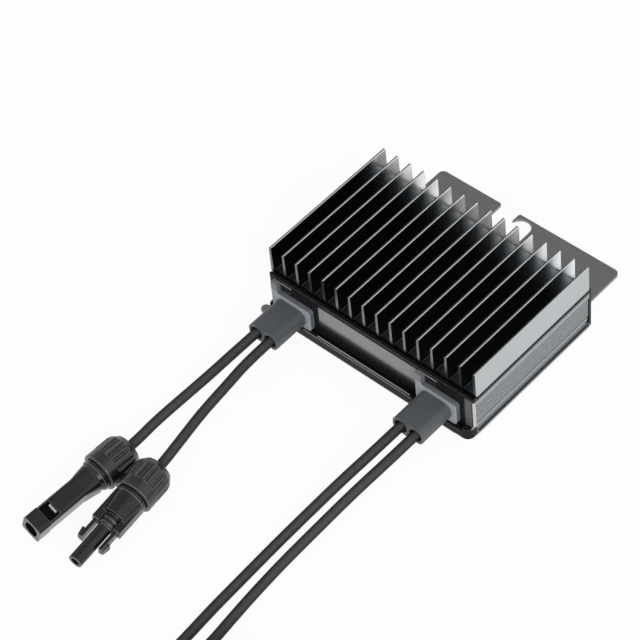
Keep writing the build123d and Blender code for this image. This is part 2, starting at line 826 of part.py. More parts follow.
coil_side = 4 * cable_radius + coil_margin
coil_low = cable_radius + coil_margin / 2
coil_high = coil_side + cable_radius - crown_sink
seats = {
    "input_a": seat_plane(*input_a_seat),
    "input_b": seat_plane(*input_b_seat),
    "output_a": output_seat(coil_a, 0.8, 15),
    "output_b": output_seat(coil_b, -0.8, -10),
}
half_spacing = cable_spacing / 2


def mouth_run(gland_x, side, straight):
    """Straight first run of a lead, out of its gland's mouth."""
    x = gland_x + side * half_spacing
    return [(x, -cable_start, gland_height), (x, -cable_start - straight, gland_height)]


def seat_run(seat):
    """Straight last run of a lead, into its connector."""
    return [along(seat, -seat_entry), along(seat, conductor_end)]


def coil_entry(coil):
    return tuple(coil_tangent(coil, coil["on"], -stub_length(coil), coil_low)[0])


for node, side, route, name in (
    ("input_lead_a", -1, input_a_route, "input_a"),
    ("input_lead_b", 1, input_b_route, "input_b"),
):
    lead(node, mouth_run(input_gland_x, side, input_straight) + route + seat_run(seats[name]))
for node, side, route, coil in (
    ("output_lead_a", -1, output_a_route, coil_a),
    ("output_lead_b", 1, output_b_route, coil_b),
):
    lead(node, mouth_run(output_gland_x, side, output_straight) + route + [coil_entry(coil)])
for name, coil in (("output_a", coil_a), ("output_b", coil_b)):
    start, run = coil_tangent(coil, coil["off"], stub_length(coil), coil_high)
    lead(
        f"output_lead_{name[-1]}_end",
        [tuple(start), tuple(start + run * end_straight)] + seat_run(seats[name]),
    )

# Coils: the outer shape of four wound turns, with the start of a fifth on top of them where
# the cable runs off, and the cable beside the coil at both its ends
for node, coil in (("output_coil_a", coil_a), ("output_coil_b", coil_b)):
    middle = Vector(*coil["centre"], 0)
    stub = stub_length(coil)
    on, run_on = coil_tangent(coil, coil["on"], -stub, coil_low)
    off, run_off = coil_tangent(coil, coil["off"], 0, coil_high)
    fifth_turn = (coil["off"] - coil["on"]) * coil["sense"]
    with BuildPart() as winding:
        with BuildSketch(Plane(origin=middle, x_dir=(1, 0, 0), z_dir=(0, -1, 0))):
            with Locations((coil["radius"], coil_side / 2)):
                RectangleRounded(coil_side, coil_side, cable_radius * 0.95)
        revolve(axis=Axis(middle, (0, 0, 1)))
        with BuildSketch(Plane(origin=off, z_dir=run_off)):
            Circle(cable_radius)
        revolve(axis=Axis(middle, (0, 0, -coil["sense"])), revolution_arc=fifth_turn)
        with BuildSketch(Plane(origin=off, z_dir=run_off)):
            Circle(cable_radius)
        extrude(amount=stub)
        with BuildSketch(Plane(origin=on, z_dir=run_on)):
            Circle(cable_radius)
        extrude(amount=stub)
    finish(winding.part, node)


# Connectors: cap nut, seal, body and metal contact on each lead
def cap_nut(node, seat):
    with BuildPart() as nut:
        with BuildSketch(Plane(origin=seat.origin, x_dir=seat.x_dir, z_dir=-seat.y_dir)):
            with BuildLine():
                Polyline(
                    (nut_hole_radius, 0),
                    (nut_rear_radius, 0),
                    (nut_rear_radius + 2 * nut_rear_edge, nut_rear_edge),
                    (nut_radius - nut_rear_edge, nut_dome),
                    (nut_radius, nut_dome_end),
                    (nut_radius, nut_length - nut_front_edge),
                    (nut_radius - nut_front_edge, nut_length),
                    (nut_bore, nut_length),
                    (nut_bore, nut_hole_length),
                    (nut_hole_radius, nut_hole_length),
                    close=True,
                )
            make_face()
        revolve(axis=Axis(seat.origin, seat.z_dir))
        with BuildSketch(seat.offset(-1)):
            with PolarLocations(nut_radius + 0.35, nut_flutes):
                Circle(flute_radius)
        extrude(amount=flute_length + 1, mode=Mode.SUBTRACT)
    finish(nut.part, node)


def cable_seal(node, seat):
    with BuildPart() as seal:
        with BuildSketch(seat.offset(nut_hole_length + 0.3)):
            Circle(seal_radius)
            Circle(cable_radius + 0.05, mode=Mode.SUBTRACT)
        extrude(amount=seal_length)
        chamfer(seal.edges().filter_by(GeomType.CIRCLE).group_by(SortBy.RADIUS)[-1], length=0.8)
    finish(seal.part, node)


def upright(seat, start, radius, height, mode=Mode.ADD):
    """Cylinder on the connector's axis, from this far along it."""
    with Locations(seat.offset(start).location):
        Cylinder(radius, height, align=(Align.CENTER, Align.CENTER, Align.MIN), mode=mode)


def body_neck(seat):
    """Round threaded neck under the nut and the shoulder in front of it."""
    upright(seat, neck_start, neck_radius, shoulder_start - neck_start)
    upright(seat, shoulder_start, shoulder_radius, shoulder_length)


def contact_bore(seat, reach):
    upright(seat, neck_start - 0.5, crimp_radius + 0.1, reach - neck_start + 0.5, Mode.SUBTRACT)


for name in ("input_a", "output_a"):
    seat = seats[name]
    cap_nut(f"{name}_nut", seat)
    cable_seal(f"{name}_seal", seat)
    with BuildPart() as socket_body:
        body_neck(seat)
        with BuildSketch(seat.offset(shoulder_front)):
            Circle(shoulder_radius - shoulder_step)
        with BuildSketch(seat.offset(socket_shoulder_end)):
            Circle(shoulder_radius - shoulder_drop)
        loft()
        with BuildSketch(seat.offset(socket_shoulder_end)):
            rounded(socket_root_width, socket_root_depth, socket_root_corner)
        with BuildSketch(seat.offset(socket_taper_end)):
            rounded(socket_width, socket_depth, socket_corner)
        loft()
        with BuildSketch(seat.offset(socket_taper_end)):
            rounded(socket_width, socket_depth, socket_corner)
        extrude(amount=body_length - collar_length - socket_taper_end)
        with BuildSketch(seat.offset(body_length - collar_length)):
            rounded(socket_width + collar_extra, socket_depth + collar_extra, socket_corner)
        extrude(amount=collar_length)
        with BuildSketch(seat.offset(body_length)):
            rounded(mouth_width, mouth_height, mouth_width / 2)
        extrude(amount=-mouth_reach, mode=Mode.SUBTRACT)
        for side in (-1, 1):
            with BuildSketch(seat.offset(body_length - collar_length - window_length)):
                with Locations((0, side * (socket_depth / 2))):
                    Rectangle(window_width, 2 * window_depth)
            extrude(amount=window_length, mode=Mode.SUBTRACT)
        contact_bore(seat, body_length - mouth_reach + 1)
    finish(socket_body.part, f"{name}_body")
    with BuildPart() as pin:
        with BuildSketch(seat.offset(conductor_end)):
            Circle(crimp_radius)
        extrude(amount=body_length - mouth_reach - conductor_end)
        with BuildSketch(seat.offset(body_length - mouth_reach)):
            Circle(pin_radius)
        extrude(amount=mouth_reach - pin_setback)
        chamfer(pin.faces().sort_by(Axis(seat.origin, seat.z_dir))[-1].edges(), length=0.4)
    finish(pin.part, f"{name}_contact")

for name in ("input_b", "output_b"):
    seat = seats[name]
    cap_nut(f"{name}_nut", seat)
    cable_seal(f"{name}_seal", seat)
    with BuildPart() as plug_body:
        body_neck(seat)
        with BuildSketch(seat.offset(shoulder_front)):
            Circle(shoulder_radius - shoulder_step)
        with BuildSketch(seat.offset(plug_barrel_end)):
            Circle(plug_barrel_radius - plug_barrel_taper)
        loft()
        with BuildSketch(seat.offset(plug_barrel_end)):
            Circle(plug_snout_radius + 0.3)
        extrude(amount=rings_end - plug_barrel_end)
        with BuildSketch(seat.offset(rings_end)):
            Circle(plug_snout_radius)
        extrude(amount=body_length - rings_end)
        for side in (-1, 1):
            with BuildSketch(seat.offset(shoulder_front)):
                with Locations((side * (wing_half + wing_inner) / 2, 0)):
                    Rectangle(wing_half - wing_inner, wing_thickness)
            extrude(amount=wing_end - shoulder_front)
            with BuildSketch(seat.offset(wing_end - 1)):
                with Locations((side * (arm_outer + arm_inner) / 2, 0)):
                    Rectangle(arm_outer - arm_inner, arm_height)
            extrude(amount=arm_end - wing_end + 1)
            with BuildSketch(seat.offset(arm_end - lug_length)):
                with Locations((side * (wing_half + arm_inner) / 2, 0)):
                    Rectangle(wing_half - arm_inner, arm_height)
            extrude(amount=lug_length, taper=8)
        for ring_at in (ring_first, ring_second):
            with BuildSketch(seat.offset(ring_at - ring_wire / 2)):
                Circle(plug_snout_radius + 1)
                Circle(plug_snout_radius - 0.1, mode=Mode.SUBTRACT)
            extrude(amount=ring_wire, mode=Mode.SUBTRACT)
        with BuildSketch(seat.offset(body_length)):
            Circle(plug_hole_radius + 0.1)
        extrude(amount=-(body_length - conductor_end), mode=Mode.SUBTRACT)
        contact_bore(seat, crimp_end + part_gap)
    finish(plug_body.part, f"{name}_body")
    with BuildPart() as rings:
        for ring_at in (ring_first, ring_second):
            with BuildSketch(seat.offset(ring_at - ring_wire / 2 + 0.05)):
                Circle(ring_radius)
                Circle(plug_snout_radius - 0.05, mode=Mode.SUBTRACT)
            extrude(amount=ring_wire - 0.1)
    finish(rings.part, f"{name}_rings")
    with BuildPart() as sleeve:
        with BuildSketch(seat.offset(conductor_end)):
            Circle(crimp_radius)
        extrude(amount=crimp_end - conductor_end)
        with BuildSketch(seat.offset(crimp_end)):
            Circle(plug_hole_radius)
        extrude(amount=body_length - sleeve_setback - crimp_end)
        with BuildSketch(seat.offset(body_length - sleeve_setback)):
            Circle(plug_hole_radius - sleeve_wall)
        extrude(amount=-sleeve_depth, mode=Mode.SUBTRACT)
    finish(sleeve.part, f"{name}_contact")
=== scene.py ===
import json
from math import cos, radians, sin, sqrt

import bmesh
import bpy
from mathutils import Matrix, Vector


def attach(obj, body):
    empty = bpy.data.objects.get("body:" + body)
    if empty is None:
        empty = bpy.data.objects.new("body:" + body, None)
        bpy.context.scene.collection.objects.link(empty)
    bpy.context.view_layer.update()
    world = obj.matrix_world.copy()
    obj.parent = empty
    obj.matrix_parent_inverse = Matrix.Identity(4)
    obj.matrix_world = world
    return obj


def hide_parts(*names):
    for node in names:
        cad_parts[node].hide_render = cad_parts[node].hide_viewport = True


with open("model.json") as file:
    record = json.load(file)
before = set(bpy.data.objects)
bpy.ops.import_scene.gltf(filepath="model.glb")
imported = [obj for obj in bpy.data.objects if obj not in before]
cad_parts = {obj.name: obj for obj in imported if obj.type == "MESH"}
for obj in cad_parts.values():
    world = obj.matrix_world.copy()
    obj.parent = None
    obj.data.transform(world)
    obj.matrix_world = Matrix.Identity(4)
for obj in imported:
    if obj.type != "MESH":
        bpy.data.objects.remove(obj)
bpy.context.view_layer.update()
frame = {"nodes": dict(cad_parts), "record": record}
scene = bpy.context.scene
mm = 0.001
print("frame loaded:", len(frame["nodes"]), "nodes")

# Camera, at the angle of the photograph
cameraView = {
    "azimuth": 47.13, "elevation": 49.24, "roll": -6.8,  # degrees
    "target": (0.0, 0.00285, 0.020), "distance": 1.2368,
    "sideways": 0.05483, "upwards": 0.01582,  # how far the target stands off the picture's middle
    "focusPixels": 2556.2, "imagePixels": 640, "sensor": 36.0,
    "clip": (0.01, 50),
}


def makeCamera(view):
    turn, rise, roll = (radians(view[key]) for key in ("azimuth", "elevation", "roll"))
    back = Vector((sin(turn) * cos(rise), -cos(turn) * cos(rise), sin(rise)))
    right = Vector((cos(turn), sin(turn), 0))
    up = back.cross(right)
    rolledRight = right * cos(roll) + up * sin(roll)
    rolledUp = up * cos(roll) - right * sin(roll)
    place = Vector(view["target"]) + back * view["distance"]
    place -= rolledRight * view["sideways"] + rolledUp * view["upwards"]
    data = bpy.data.cameras.new("camera")
    data.sensor_width = view["sensor"]
    data.lens = view["focusPixels"] * view["sensor"] / view["imagePixels"]
    data.clip_start, data.clip_end = view["clip"]
    camera = bpy.data.objects.new("camera", data)
    scene.collection.objects.link(camera)
    turned = Matrix((rolledRight, rolledUp, back)).transposed()
    camera.matrix_world = Matrix.Translation(place) @ turned.to_4x4()
    scene.camera = camera


makeCamera(cameraView)
print("camera made")


# Node materials
def newMaterial(name):
    material = bpy.data.materials.new(name)
    material.use_nodes = True
    return material, material.node_tree, material.node_tree.nodes["Principled BSDF"]


def addNode(tree, kind, inputs=None, **settings):
    # inputs are plain values, or sockets to link from
    node = tree.nodes.new(kind)
    for key, value in settings.items():
        setattr(node, key, value)
    for key, value in (inputs or {}).items():
        if isinstance(value, bpy.types.NodeSocket):
            tree.links.new(value, node.inputs[key])
        else:
            node.inputs[key].default_value = value
    return node


def addRamp(tree, source, *stops):
    # two stops, each a position and a brightness
    node = addNode(tree, "ShaderNodeValToRGB", {"Fac": source})
    for element, (position, value) in zip(node.color_ramp.elements, stops):
        element.position = position
        element.color = (value, value, value, 1)
    return node.outputs["Color"]


def opaque(colour):
    return (*colour, 1) if isinstance(colour, tuple) else colour


def addMix(tree, mask, low, high):
    # sockets 6, 7 and 2 are the node's colour pair and its colour result
    inputs = {"Factor": mask, 6: opaque(low), 7: opaque(high)}
    return addNode(tree, "ShaderNodeMix", inputs, data_type="RGBA").outputs[2]


def addMath(tree, operation, *values, **settings):
    inputs = dict(enumerate(values))
    return addNode(tree, "ShaderNodeMath", inputs, operation=operation, **settings).outputs["Value"]


def addVectorMath(tree, operation, *values):
    node = addNode(tree, "ShaderNodeVectorMath", dict(enumerate(values)), operation=operation)
    return node.outputs["Value" if operation == "DOT_PRODUCT" else "Vector"]


# Effects that several finishes share, each one a node group
crisp = 0.0001  # the border of a tinted box, where it isn't soft


def newGroup(name, inputs, outputs):
    group = bpy.data.node_groups.new(name, "ShaderNodeTree")
    for label, kind, value in inputs:
        socket = group.interface.new_socket(label, in_out="INPUT", socket_type=kind)
        socket.default_value = value
    for label, kind in outputs:
        group.interface.new_socket(label, in_out="OUTPUT", socket_type=kind)
    return group, addNode(group, "NodeGroupInput").outputs


def grainGroup():
    # fine grain, drawn out along an axis where Stretch is small there
    group, given = newGroup(
        "surfaceGrain",
        [("Scale", "NodeSocketFloat", 900.0), ("Stretch", "NodeSocketVector", (1, 1, 1)),
         ("Strength", "NodeSocketFloat", 0.1), ("Distance", "NodeSocketFloat", 0.0001)],
        [("Mask", "NodeSocketFloat"), ("Normal", "NodeSocketVector")],
    )
    place = addNode(group, "ShaderNodeTexCoord").outputs["Object"]
    stretched = addVectorMath(group, "MULTIPLY", place, given["Stretch"])
    noise = addNode(group, "ShaderNodeTexNoise", {
        "Vector": stretched, "Scale": given["Scale"], "Detail": 3.0, "Roughness": 0.6,
    }).outputs["Fac"]
    bump = addNode(group, "ShaderNodeBump", {
        "Height": noise, "Strength": given["Strength"], "Distance": given["Distance"],
    }).outputs["Normal"]
    addNode(group, "NodeGroupOutput", {"Mask": noise, "Normal": bump})
    return group


def edgeGroup():
    # a mask that is 1 on sharp edges, where the finishes put a painted highlight, and a normal that runs
    # round them
    group, given = newGroup(
        "edgeHighlight",
        [("Radius", "NodeSocketFloat", 0.0003), ("Gain", "NodeSocketFloat", 6.0),
         ("Normal", "NodeSocketVector", (0, 0, 0))],
        [("Mask", "NodeSocketFloat"), ("Rounded", "NodeSocketVector")],
    )
    inputs = {"Radius": given["Radius"], "Normal": given["Normal"]}
    rounded = addNode(group, "ShaderNodeBevel", inputs, samples=6).outputs["Normal"]
    flat = addNode(group, "ShaderNodeNewGeometry").outputs["Normal"]
    gap = addMath(group, "SUBTRACT", 1.0, addVectorMath(group, "DOT_PRODUCT", rounded, flat))
    highlight = addMath(group, "MULTIPLY", gap, given["Gain"], use_clamp=True)
    addNode(group, "NodeGroupOutput", {"Mask": highlight, "Rounded": rounded})
    return group


def zoneGroup():
    # 1 inside a box of the frame, fading to 0 over a soft margin at each face
    group, given = newGroup(
        "zoneMask",
        [("Low", "NodeSocketVector", (-1, -1, -1)), ("High", "NodeSocketVector", (1, 1, 1)),
         ("Soft", "NodeSocketVector", (crisp, crisp, crisp))],
        [("Mask", "NodeSocketFloat")],
    )
    place = addNode(group, "ShaderNodeTexCoord").outputs["Object"]
    mask = None
    for upper, lower in ((place, given["Low"]), (given["High"], place)):
        room = addVectorMath(group, "SUBTRACT", upper, lower)
        share = addVectorMath(group, "DIVIDE", room, given["Soft"])
        for axis in addNode(group, "ShaderNodeSeparateXYZ", {"Vector": share}).outputs:
            held = addNode(group, "ShaderNodeClamp", {"Value": axis}).outputs["Result"]
            mask = addMath(group, "MULTIPLY", mask, held) if mask else held
    addNode(group, "NodeGroupOutput", {"Mask": mask})
    return group


def grooveGroup():
    # 1 in the grooves that repeat along an axis at a pitch, over a share of each pitch
    group, given = newGroup(
        "grooveMask",
        [("Axis", "NodeSocketVector", (0, 0, 1)), ("Start", "NodeSocketFloat", 0.0),
         ("Pitch", "NodeSocketFloat", 0.001), ("Share", "NodeSocketFloat", 0.5)],
        [("Mask", "NodeSocketFloat")],
    )
    place = addNode(group, "ShaderNodeTexCoord").outputs["Object"]
    along = addVectorMath(group, "DOT_PRODUCT", place, given["Axis"])
    past = addMath(group, "SUBTRACT", along, given["Start"])
    part = addMath(group, "FRACT", addMath(group, "DIVIDE", past, given["Pitch"]))
    addNode(group, "NodeGroupOutput", {"Mask": addMath(group, "LESS_THAN", part, given["Share"])})
    return group


surfaceGrain = grainGroup()
edgeHighlight = edgeGroup()
zoneMask = zoneGroup()
grooveMask = grooveGroup()

plainFinish = {  # what a finish has where it says nothing else
    "metallic": 0.0, "specular": 0.5, "stretch": (1, 1, 1), "depth": 0.00005,
    "edgeRadius": 0.0003, "edgeGain": 4.0, "zones": {}, "grooves": {}, "overEdges": {},
    "grainRange": (0.3, 0.7), "rimRange": (0.05, 0.55),
}


def box(x=(-1, 1), y=(-1, 1), z=(-1, 1), soft=(crisp, crisp, crisp)):
    # from where to where along each axis, and how wide the border is there
    return {"Low": (x[0], y[0], z[0]), "High": (x[1], y[1], z[1]), "Soft": soft}


def addZones(tree, colour, zones):
    for where, tint in zones.values():
        zone = addNode(tree, "ShaderNodeGroup", where, node_tree=zoneMask)
        colour = addMix(tree, zone.outputs["Mask"], colour, tint)
    return colour


def addGrooves(tree, colour, grooves):
    for where, lines, tint in grooves.values():
        zone = addNode(tree, "ShaderNodeGroup", where, node_tree=zoneMask)
        stripes = addNode(tree, "ShaderNodeGroup", lines, node_tree=grooveMask)
        both = addMath(tree, "MULTIPLY", zone.outputs["Mask"], stripes.outputs["Mask"])
        colour = addMix(tree, both, colour, tint)
    return colour


def makeFinish(name, changes):
    # dark and light mottling, tinted boxes, edges lightened as painted highlights, and roughness that
    # follows the grain
    finish = {**plainFinish, **changes}
    material, tree, shader = newMaterial(name)
    shader.inputs["Metallic"].default_value = finish["metallic"]
    shader.inputs["Specular IOR Level"].default_value = finish["specular"]
    grain = addNode(tree, "ShaderNodeGroup", {
        "Scale": finish["grain"], "Stretch": finish["stretch"],
        "Strength": finish["bump"], "Distance": finish["depth"],
    }, node_tree=surfaceGrain).outputs
    edgeLight = addNode(tree, "ShaderNodeGroup", {
        "Radius": finish["edgeRadius"], "Gain": finish["edgeGain"], "Normal": grain["Normal"],
    }, node_tree=edgeHighlight).outputs
    grainLow, grainHigh = finish["grainRange"]
    spread = addRamp(tree, grain["Mask"], (grainLow, 0.0), (grainHigh, 1.0))
    colour = addMix(tree, spread, finish["dark"], finish["light"])
    colour = addZones(tree, colour, finish["zones"])
    colour = addGrooves(tree, colour, finish["grooves"])
    # painted highlight: the edge colour laid on the sharp edges
    colour = addMix(tree, edgeLight["Mask"], colour, finish["edge"])
    colour = addZones(tree, colour, finish["overEdges"])
    # painted shade: darker where the surface turns away from the camera
    if "rim" in finish:
        facing = addNode(tree, "ShaderNodeLayerWeight", {"Blend": 0.5})
        rimLow, rimHigh = finish["rimRange"]
        turned = addRamp(tree, facing.outputs["Facing"], (rimLow, 0.0), (rimHigh, 1.0))
        colour = addMix(tree, turned, colour, finish["rim"])
    smooth, rough = finish["roughness"]
    roughness = addRamp(tree, grain["Mask"], (grainLow, smooth), (grainHigh, rough))
    tree.links.new(colour, shader.inputs["Base Color"])
    tree.links.new(roughness, shader.inputs["Roughness"])
    tree.links.new(edgeLight["Rounded"], shader.inputs["Normal"])
    return material


# Heat sink: tinted boxes, a later one over the earlier ones: painted shade in the channels, grooves,
# notch and undercut, and painted reflections and highlights on the fins' far ends, tops and the foot of
# the walls
wallRun = (-0.0418, 0.0418)  # the side walls, just short of their end faces
finRow = (-0.0638, 0.0638)  # the fins and the channels between them
dimReflectionFrom = 0.034  # from here to the output side, the painted reflection on the fins' far ends is a little dimmer
sinkZones = {
    "sideWalls": (box(z=(-1, 0.0278)), (0.35, 0.37, 0.38)),
    # painted shade: a dark line along the groove below the fins
    "grooveShade": (box(z=(0.0248, 0.0289), soft=(crisp, crisp, 0.0013)), (0.015, 0.017, 0.019)),
    # painted shade in the undercut low on the side walls
    "undercutShade": (box(y=wallRun, z=(0.0018, 0.0044), soft=(crisp, crisp, 0.0008)), (0.03, 0.032, 0.035)),
    # painted reflection: the foot of the walls paler
    "footReflection": (box(z=(-1, 0.0026), soft=(crisp, crisp, 0.0006)), (0.58, 0.6, 0.62)),
    # painted shade in the notch along the side walls
    "notchShade": (box(y=wallRun, z=(0.0076, 0.0092)), (0.08, 0.084, 0.09)),
    # painted shade: the channels between the fins darkened, fading out towards the far end
    "channelShade": (
        box(finRow, (-0.06, 0.0445), (0.0284, 0.04418), soft=(0.0002, 0.016, 0.00002)),
        (0.1, 0.108, 0.118),
    ),
    # painted reflection: the fins' far ends made white, fading towards the front and downwards
    "farEndReflection": (
        box((finRow[0], dimReflectionFrom), (0.03, 1), (0.0296, 0.06), soft=(0.0002, 0.011, 0.006)),
        (1.0, 1.0, 1.0),
    ),
    # the same painted reflection, a little dimmer
    "dimmerFarEndReflection": (
        box((dimReflectionFrom, finRow[1]), (0.031, 1), (0.0296, 0.06), soft=(0.0002, 0.011, 0.006)),
        (0.83, 0.86, 0.89),
    ),
    "finBacks": (box(y=(0.0421, 1), z=(0.0286, 0.0441)), (0.55, 0.57, 0.59)),
    # painted highlight on the fin tops
    "finTops": (box(z=(0.04415, 1), soft=(crisp, crisp, 0.00002)), (0.92, 0.94, 0.95)),
}
sinkOverEdges = {
    # painted shade on the fins' front faces
    "finFrontShade": (box(y=(-1, -0.0419), z=(0.0284, 1)), (0.17, 0.177, 0.185)),
    # painted shadow line under the fins' front ends
    "frontShadowLine": (box(y=(-1, -0.0412), z=(0.0272, 0.0291)), (0.02, 0.02, 0.02)),
}
betweenRibs = {"Axis": (0, 0, 1), "Start": 0.0102, "Pitch": 0.00175, "Share": 0.42}
alongTops = {"Axis": (1, 0, 0), "Start": -0.0643, "Pitch": 0.0084867, "Share": 0.083}
ribs = {"height": (0.0094, 0.0216), "outside": 0.0615, "tint": (0.06, 0.063, 0.067)}
# painted shade in stripes: a dark line on the left edge of each fin top, and dark lines between the side
# ribs
sinkGrooves = {
    "finTops": (box(z=(0.04408, 1)), alongTops, (0.1, 0.105, 0.11)),
    "rightRibs": (box((ribs["outside"], 1), wallRun, ribs["height"]), betweenRibs, ribs["tint"]),
    "leftRibs": (box((-1, -ribs["outside"]), wallRun, ribs["height"]), betweenRibs, ribs["tint"]),
}

# Housing: painted highlights on its corners beside the label, and on the lip in front as two bright lines
housingZones = {
    "rightPost": (box((0.059, 0.0633), (-0.0446, -0.0435), (0.006, 0.0262)), (0.09, 0.09, 0.09)),
    # painted highlight on the rounded right corner
    "rightCornerHighlight": (box((0.0637, 0.0655), (-0.046, -0.0425), (0.0078, 0.0258)), (0.42, 0.42, 0.42)),
    "lipFront": (box((-0.041, 0.0285), (-0.06, -0.0479), (-1, 0.0051)), (0.012, 0.012, 0.013)),
    # painted highlights: two bright lines along the lip's edges
    "lipInnerHighlight": (box((-0.0325, 0.0265), (-0.047, -0.0461), (0.0052, 0.006)), (0.44, 0.44, 0.44)),
    "lipOuterHighlight": (box((-0.041, 0.0285), (-0.0481, -0.0475), (0.0052, 0.006)), (0.28, 0.28, 0.28)),
    # painted highlight on the left corner
    "leftCornerHighlight": (box((-0.0655, -0.0636), (-0.046, -0.0425), (0.0066, 0.0258)), (0.22, 0.22, 0.19)),
}

# Label: a bare film, pale in its upper part
labelZones = {"upperPart": (box(z=(0.0138, 1), soft=(crisp, crisp, 0.003)), (0.22, 0.225, 0.23))}

# Glands: painted light on the flange's front face, paler than the block, and painted shade on the
# flange's rim and top
glandZones = {
    # painted light on the flange's front face
    "flangeFrontLight": (box(y=(-0.0474, 1)), (0.25, 0.265, 0.3)),
    # painted shade on the flange's rim and top
    "flangeRimShade": (box(y=(-0.0467, 1)), (0.12, 0.128, 0.138)),
    "flangeTopShade": (
        box(y=(-0.0474, 1), z=(0.0206, 1), soft=(crisp, crisp, 0.0008)),
        (0.15, 0.156, 0.165),
    ),
}

finishes = {
    "anodisedAluminium": {
        "dark": (0.465, 0.49, 0.5), "light": (0.505, 0.53, 0.54), "edge": (0.7, 0.73, 0.74),
        "metallic": 1.0, "roughness": (0.24, 0.28), "grain": 500.0, "stretch": (1, 0.05, 1), "bump": 0.0,
        "edgeRadius": 0.00012, "zones": sinkZones, "grooves": sinkGrooves, "overEdges": sinkOverEdges,
    },
    "bracketSteel": {
        "dark": (0.235, 0.23, 0.224), "light": (0.27, 0.265, 0.257), "edge": (0.42, 0.41, 0.4),
        "metallic": 1.0, "roughness": (0.36, 0.48), "grain": 300.0, "stretch": (0.1, 1, 1), "bump": 0.02,
    },
    "housingPlastic": {
        "dark": (0.008, 0.008, 0.009), "light": (0.011, 0.011, 0.012), "edge": (0.2, 0.205, 0.21),
        "specular": 0.05, "roughness": (0.2, 0.28), "grain": 1200.0, "bump": 0.03, "zones": housingZones,
    },
    "labelFilm": {
        "dark": (0.010, 0.010, 0.011), "light": (0.012, 0.012, 0.013), "edge": (0.1, 0.1, 0.1),
        "specular": 0.08, "roughness": (0.18, 0.24), "grain": 900.0, "bump": 0.01, "zones": labelZones,
    },
    "glandRubber": {
        "dark": (0.055, 0.061, 0.066), "light": (0.072, 0.078, 0.085), "edge": (0.15, 0.16, 0.17),
        "roughness": (0.45, 0.58), "grain": 900.0, "bump": 0.06, "zones": glandZones,
    },
    "cableJacket": {
        "dark": (0.045, 0.0455, 0.046), "light": (0.062, 0.0625, 0.063), "edge": (0.06, 0.06, 0.06),
        "specular": 0.12, "roughness": (0.34, 0.44), "grain": 500.0, "bump": 0.05,
        # painted shade towards the cable's silhouette
        "rim": (0.004, 0.004, 0.004),
    },
    "connectorPlastic": {
        "dark": (0.004, 0.005, 0.006), "light": (0.008, 0.009, 0.01), "edge": (0.24, 0.24, 0.245),
        "specular": 0.45, "roughness": (0.12, 0.2), "grain": 500.0, "bump": 0.06, "edgeRadius": 0.0004,
    },
    # painted shade: near-black, for the block that fills each latch window
    "latchShadeFloor": {
        "dark": (0.0015, 0.0015, 0.002), "light": (0.003, 0.003, 0.0035), "edge": (0.008, 0.008, 0.008),
        "specular": 0.05, "roughness": (0.5, 0.6), "grain": 700.0, "bump": 0.05,
    },
    # painted highlight: pale, for the raised step in each latch window
    "latchHighlightStep": {
        "dark": (0.42, 0.42, 0.43), "light": (0.48, 0.48, 0.49), "edge": (0.6, 0.6, 0.6),
        "roughness": (0.25, 0.35), "grain": 700.0, "bump": 0.05,
    },
    "nutPlastic": {
        "dark": (0.006, 0.006, 0.006), "light": (0.012, 0.012, 0.012), "edge": (0.2, 0.2, 0.2),
        "specular": 0.65, "roughness": (0.2, 0.3), "grain": 700.0, "bump": 0.1, "edgeRadius": 0.0005,
        "edgeGain": 8.0,
    },
    "sealRubber": {
        "dark": (0.012, 0.012, 0.012), "light": (0.018, 0.018, 0.018), "edge": (0.2, 0.2, 0.2),
        "specular": 1.0, "roughness": (0.08, 0.14), "grain": 900.0, "bump": 0.02, "edgeGain": 8.0,
    },
    # much darker than its tin plating, as painted shade inside the connector bodies
    "contactMetal": {
        "dark": (0.12, 0.115, 0.11), "light": (0.16, 0.155, 0.15), "edge": (0.25, 0.25, 0.24),
        "metallic": 1.0, "roughness": (0.2, 0.3), "grain": 900.0, "bump": 0.05,
    },
    "screwSteel": {
        "dark": (0.5, 0.5, 0.5), "light": (0.6, 0.6, 0.6), "edge": (0.75, 0.75, 0.75),
        "metallic": 1.0, "roughness": (0.25, 0.35), "grain": 900.0, "bump": 0.05,
    },
    "boardMask": {
        "dark": (0.010, 0.060, 0.022), "light": (0.014, 0.075, 0.028), "edge": (0.25, 0.22, 0.12),
        "roughness": (0.25, 0.35), "grain": 600.0, "bump": 0.05,
    },
    "chipPlastic": {
        "dark": (0.015, 0.015, 0.015), "light": (0.022, 0.022, 0.022), "edge": (0.04, 0.04, 0.04),
        "roughness": (0.45, 0.6), "grain": 2200.0, "bump": 0.1,
    },
    "padSilicone": {
        "dark": (0.35, 0.38, 0.42), "light": (0.4, 0.43, 0.47), "edge": (0.5, 0.5, 0.52),
        "roughness": (0.6, 0.75), "grain": 1200.0, "bump": 0.1,
    },
    "ferriteCore": {
        "dark": (0.03, 0.03, 0.03), "light": (0.045, 0.045, 0.045), "edge": (0.08, 0.08, 0.08),
        "roughness": (0.5, 0.65), "grain": 1500.0, "bump": 0.15,
    },
    "copperWire": {
        "dark": (0.55, 0.2, 0.08), "light": (0.7, 0.3, 0.14), "edge": (0.8, 0.4, 0.2),
        "metallic": 1.0, "roughness": (0.25, 0.35), "grain": 700.0, "stretch": (0.2, 0.2, 6), "bump": 0.3,
    },
    "capacitorCase": {
        "dark": (0.03, 0.06, 0.16), "light": (0.04, 0.075, 0.19), "edge": (0.1, 0.14, 0.25),
        "roughness": (0.25, 0.35), "grain": 500.0, "bump": 0.04,
    },
    "terminalPlastic": {
        "dark": (0.03, 0.03, 0.03), "light": (0.04, 0.04, 0.04), "edge": (0.07, 0.07, 0.07),
        "roughness": (0.4, 0.5), "grain": 1200.0, "bump": 0.1,
    },
}
materials = {name: makeFinish(name, finish) for name, finish in finishes.items()}
print("materials made:", len(materials))

